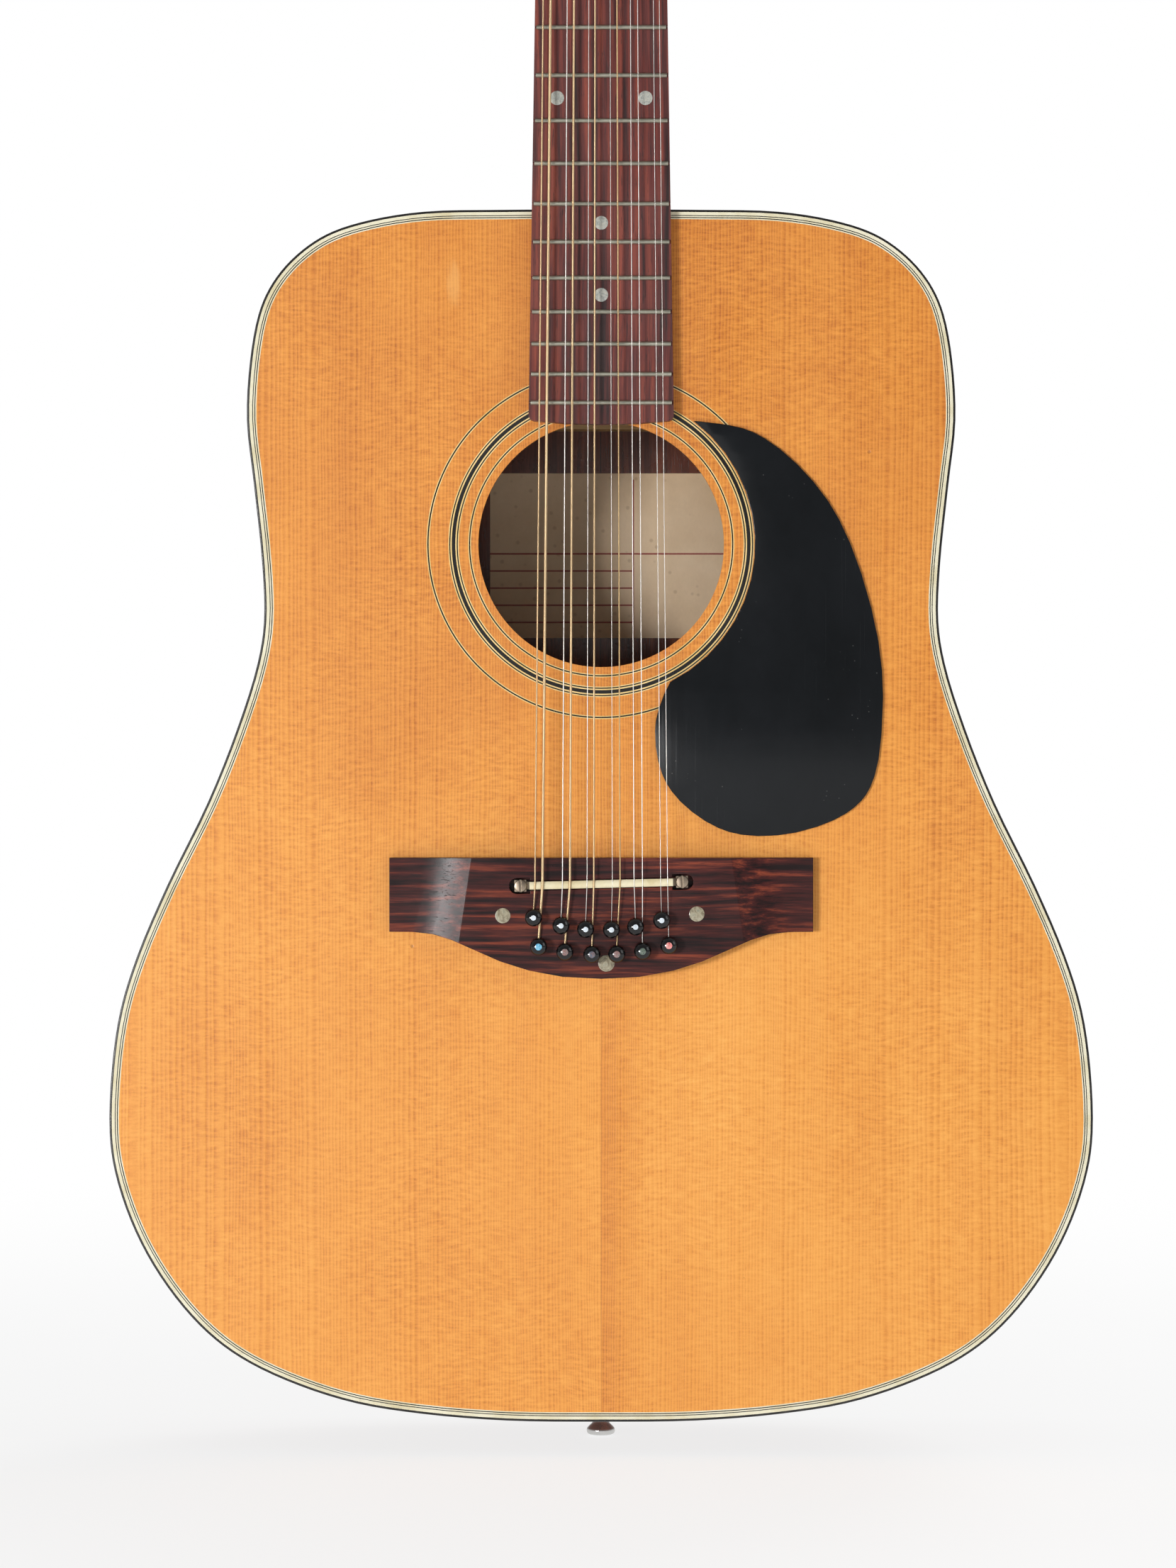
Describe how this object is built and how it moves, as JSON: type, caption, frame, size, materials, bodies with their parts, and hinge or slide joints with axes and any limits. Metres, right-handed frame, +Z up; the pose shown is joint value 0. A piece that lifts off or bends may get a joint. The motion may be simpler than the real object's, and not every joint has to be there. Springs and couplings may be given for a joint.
{
  "type": "acoustic guitar",
  "caption": "Twelve-string dreadnought acoustic guitar with a round soundhole, belly bridge with adjustable saddle, and geared tuning machines.",
  "frame": {"origin": "centre of the end button's flat outer face, the lowest point of the guitar", "axes": "+Z up the neck towards the headstock, -Y out of the soundboard towards the player's audience, +X to the treble side where the pickguard is"},
  "size_m": [0.4102, 0.1345, 1.0574],
  "materials": {
    "spruce_top": "aged amber gloss lacquer, fine vertical grain",
    "brace_spruce": "raw spruce",
    "rosewood": "satin, dark streaks",
    "body_wood": "gloss lacquer, dark brown",
    "mahogany": "satin lacquer",
    "cream_binding": "cream, gloss",
    "bone": "bone white, satin",
    "black_plastic": "black, gloss",
    "nickel": "bright nickel plate",
    "fret_wire": "nickel silver",
    "string_metal": "plain steel and bronze wound",
    "brass": "turned brass",
    "tuner_metal": "nickel plate, cream button"
  },
  "bodies": {
    "guitar": {"soundboard": "spruce_top", "back": "body_wood", "rib_bass": "body_wood", "rib_treble": "body_wood", "top_binding": "cream_binding", "back_binding": "cream_binding", "top_lining": "brace_spruce", "back_lining": "brace_spruce", "neck_block": "mahogany", "tail_block": "mahogany", "x_brace": "brace_spruce", "transverse_brace": "brace_spruce", "bridge_plate": "mahogany", "back_bracing": "brace_spruce", "back_brace_upper": "brace_spruce", "pickguard": "black_plastic", "end_button": "nickel", "neck": "mahogany", "heel_cap": "black_plastic", "headstock_veneer": "rosewood", "fingerboard": "rosewood", "frets": "fret_wire", "nut": "bone", "truss_rod": "string_metal", "truss_rod_cover": "black_plastic", "bridge": "rosewood", "bridge_pins_front": "black_plastic", "bridge_pins_back": "black_plastic", "strings": "string_metal", "tuner_plate_bass": "tuner_metal", "tuner_plate_treble": "tuner_metal"},
    "saddle_assembly": {"saddle": "bone", "saddle_carrier": "nickel"},
    "saddle_screw_bass": {"saddle_screw_bass": "nickel"},
    "saddle_screw_treble": {"saddle_screw_treble": "nickel"},
    "truss_rod_nut": {"truss_rod_nut": "brass"},
    "tuner_key_01": {"tuner_key_01": "tuner_metal"},
    "tuner_post_01": {"tuner_post_01": "nickel"},
    "tuner_key_02": {"tuner_key_02": "tuner_metal"},
    "tuner_post_02": {"tuner_post_02": "nickel"},
    "tuner_key_03": {"tuner_key_03": "tuner_metal"},
    "tuner_post_03": {"tuner_post_03": "nickel"},
    "tuner_key_04": {"tuner_key_04": "tuner_metal"},
    "tuner_post_04": {"tuner_post_04": "nickel"},
    "tuner_key_05": {"tuner_key_05": "tuner_metal"},
    "tuner_post_05": {"tuner_post_05": "nickel"},
    "tuner_key_06": {"tuner_key_06": "tuner_metal"},
    "tuner_post_06": {"tuner_post_06": "nickel"},
    "tuner_key_07": {"tuner_key_07": "tuner_metal"},
    "tuner_post_07": {"tuner_post_07": "nickel"},
    "tuner_key_08": {"tuner_key_08": "tuner_metal"},
    "tuner_post_08": {"tuner_post_08": "nickel"},
    "tuner_key_09": {"tuner_key_09": "tuner_metal"},
    "tuner_post_09": {"tuner_post_09": "nickel"},
    "tuner_key_10": {"tuner_key_10": "tuner_metal"},
    "tuner_post_10": {"tuner_post_10": "nickel"},
    "tuner_key_11": {"tuner_key_11": "tuner_metal"},
    "tuner_post_11": {"tuner_post_11": "nickel"},
    "tuner_key_12": {"tuner_key_12": "tuner_metal"},
    "tuner_post_12": {"tuner_post_12": "nickel"}
  },
  "joints": [
    {"name": "saddle_screw_bass_turn", "type": "hinge", "parent": "guitar", "child": "saddle_screw_bass", "pos_m": [-0.03359, -0.0665, 0.23676], "axis": [0, -1, 0], "range_deg": [0, 720]},
    {"name": "saddle_screw_treble_turn", "type": "hinge", "parent": "guitar", "child": "saddle_screw_treble", "pos_m": [0.03359, -0.0665, 0.23844], "axis": [0, -1, 0], "range_deg": [0, 720]},
    {"name": "saddle_height", "type": "slide", "parent": "guitar", "child": "saddle_assembly", "axis": [0, 1, 0], "range_m": [0, 0.001]},
    {"name": "truss_rod_nut_turn", "type": "hinge", "parent": "guitar", "child": "truss_rod_nut", "pos_m": [0, -0.0525, 0.887], "axis": [0, 0, 1], "range_deg": [-180, 180]},
    {"name": "tuner_key_01_turn", "type": "hinge", "parent": "guitar", "child": "tuner_key_01", "pos_m": [-0.027, -0.03001, 0.91481], "axis": [1, 0, 0], "continuous": true},
    {"name": "tuner_post_01_turn", "type": "hinge", "parent": "guitar", "child": "tuner_post_01", "pos_m": [-0.027, -0.03171, 0.90802], "axis": [0, 0.9703, -0.2419], "continuous": true},
    {"name": "tuner_key_02_turn", "type": "hinge", "parent": "guitar", "child": "tuner_key_02", "pos_m": [-0.027, -0.02421, 0.9381], "axis": [1, 0, 0], "continuous": true},
    {"name": "tuner_post_02_turn", "type": "hinge", "parent": "guitar", "child": "tuner_post_02", "pos_m": [-0.027, -0.0259, 0.93131], "axis": [0, 0.9703, -0.2419], "continuous": true},
    {"name": "tuner_key_03_turn", "type": "hinge", "parent": "guitar", "child": "tuner_key_03", "pos_m": [-0.027, -0.0184, 0.96139], "axis": [1, 0, 0], "continuous": true},
    {"name": "tuner_post_03_turn", "type": "hinge", "parent": "guitar", "child": "tuner_post_03", "pos_m": [-0.027, -0.02009, 0.9546], "axis": [0, 0.9703, -0.2419], "continuous": true},
    {"name": "tuner_key_04_turn", "type": "hinge", "parent": "guitar", "child": "tuner_key_04", "pos_m": [-0.027, -0.01259, 0.98468], "axis": [1, 0, 0], "continuous": true},
    {"name": "tuner_post_04_turn", "type": "hinge", "parent": "guitar", "child": "tuner_post_04", "pos_m": [-0.027, -0.01429, 0.97788], "axis": [0, 0.9703, -0.2419], "continuous": true},
    {"name": "tuner_key_05_turn", "type": "hinge", "parent": "guitar", "child": "tuner_key_05", "pos_m": [-0.027, -0.00679, 1.00796], "axis": [1, 0, 0], "continuous": true},
    {"name": "tuner_post_05_turn", "type": "hinge", "parent": "guitar", "child": "tuner_post_05", "pos_m": [-0.027, -0.00848, 1.00117], "axis": [0, 0.9703, -0.2419], "continuous": true},
    {"name": "tuner_key_06_turn", "type": "hinge", "parent": "guitar", "child": "tuner_key_06", "pos_m": [-0.027, -0.00098, 1.03125], "axis": [1, 0, 0], "continuous": true},
    {"name": "tuner_post_06_turn", "type": "hinge", "parent": "guitar", "child": "tuner_post_06", "pos_m": [-0.027, -0.00268, 1.02446], "axis": [0, 0.9703, -0.2419], "continuous": true},
    {"name": "tuner_key_07_turn", "type": "hinge", "parent": "guitar", "child": "tuner_key_07", "pos_m": [0.027, -0.03001, 0.91481], "axis": [1, 0, 0], "continuous": true},
    {"name": "tuner_post_07_turn", "type": "hinge", "parent": "guitar", "child": "tuner_post_07", "pos_m": [0.027, -0.03171, 0.90802], "axis": [0, 0.9703, -0.2419], "continuous": true},
    {"name": "tuner_key_08_turn", "type": "hinge", "parent": "guitar", "child": "tuner_key_08", "pos_m": [0.027, -0.02421, 0.9381], "axis": [1, 0, 0], "continuous": true},
    {"name": "tuner_post_08_turn", "type": "hinge", "parent": "guitar", "child": "tuner_post_08", "pos_m": [0.027, -0.0259, 0.93131], "axis": [0, 0.9703, -0.2419], "continuous": true},
    {"name": "tuner_key_09_turn", "type": "hinge", "parent": "guitar", "child": "tuner_key_09", "pos_m": [0.027, -0.0184, 0.96139], "axis": [1, 0, 0], "continuous": true},
    {"name": "tuner_post_09_turn", "type": "hinge", "parent": "guitar", "child": "tuner_post_09", "pos_m": [0.027, -0.02009, 0.9546], "axis": [0, 0.9703, -0.2419], "continuous": true},
    {"name": "tuner_key_10_turn", "type": "hinge", "parent": "guitar", "child": "tuner_key_10", "pos_m": [0.027, -0.01259, 0.98468], "axis": [1, 0, 0], "continuous": true},
    {"name": "tuner_post_10_turn", "type": "hinge", "parent": "guitar", "child": "tuner_post_10", "pos_m": [0.027, -0.01429, 0.97788], "axis": [0, 0.9703, -0.2419], "continuous": true},
    {"name": "tuner_key_11_turn", "type": "hinge", "parent": "guitar", "child": "tuner_key_11", "pos_m": [0.027, -0.00679, 1.00796], "axis": [1, 0, 0], "continuous": true},
    {"name": "tuner_post_11_turn", "type": "hinge", "parent": "guitar", "child": "tuner_post_11", "pos_m": [0.027, -0.00848, 1.00117], "axis": [0, 0.9703, -0.2419], "continuous": true},
    {"name": "tuner_key_12_turn", "type": "hinge", "parent": "guitar", "child": "tuner_key_12", "pos_m": [0.027, -0.00098, 1.03125], "axis": [1, 0, 0], "continuous": true},
    {"name": "tuner_post_12_turn", "type": "hinge", "parent": "guitar", "child": "tuner_post_12", "pos_m": [0.027, -0.00268, 1.02446], "axis": [0, 0.9703, -0.2419], "continuous": true}
  ],
  "couplings": [
    {"joint": "saddle_screw_bass_turn", "follows": "saddle_height", "rad_per_m": 12566},
    {"joint": "saddle_screw_treble_turn", "follows": "saddle_height", "rad_per_m": 12566},
    {"joint": "tuner_post_01_turn", "follows": "tuner_key_01_turn", "ratio": -0.071429},
    {"joint": "tuner_post_02_turn", "follows": "tuner_key_02_turn", "ratio": -0.071429},
    {"joint": "tuner_post_03_turn", "follows": "tuner_key_03_turn", "ratio": -0.071429},
    {"joint": "tuner_post_04_turn", "follows": "tuner_key_04_turn", "ratio": -0.071429},
    {"joint": "tuner_post_05_turn", "follows": "tuner_key_05_turn", "ratio": -0.071429},
    {"joint": "tuner_post_06_turn", "follows": "tuner_key_06_turn", "ratio": -0.071429},
    {"joint": "tuner_post_07_turn", "follows": "tuner_key_07_turn", "ratio": -0.071429},
    {"joint": "tuner_post_08_turn", "follows": "tuner_key_08_turn", "ratio": -0.071429},
    {"joint": "tuner_post_09_turn", "follows": "tuner_key_09_turn", "ratio": -0.071429},
    {"joint": "tuner_post_10_turn", "follows": "tuner_key_10_turn", "ratio": -0.071429},
    {"joint": "tuner_post_11_turn", "follows": "tuner_key_11_turn", "ratio": -0.071429},
    {"joint": "tuner_post_12_turn", "follows": "tuner_key_12_turn", "ratio": -0.071429}
  ]
}
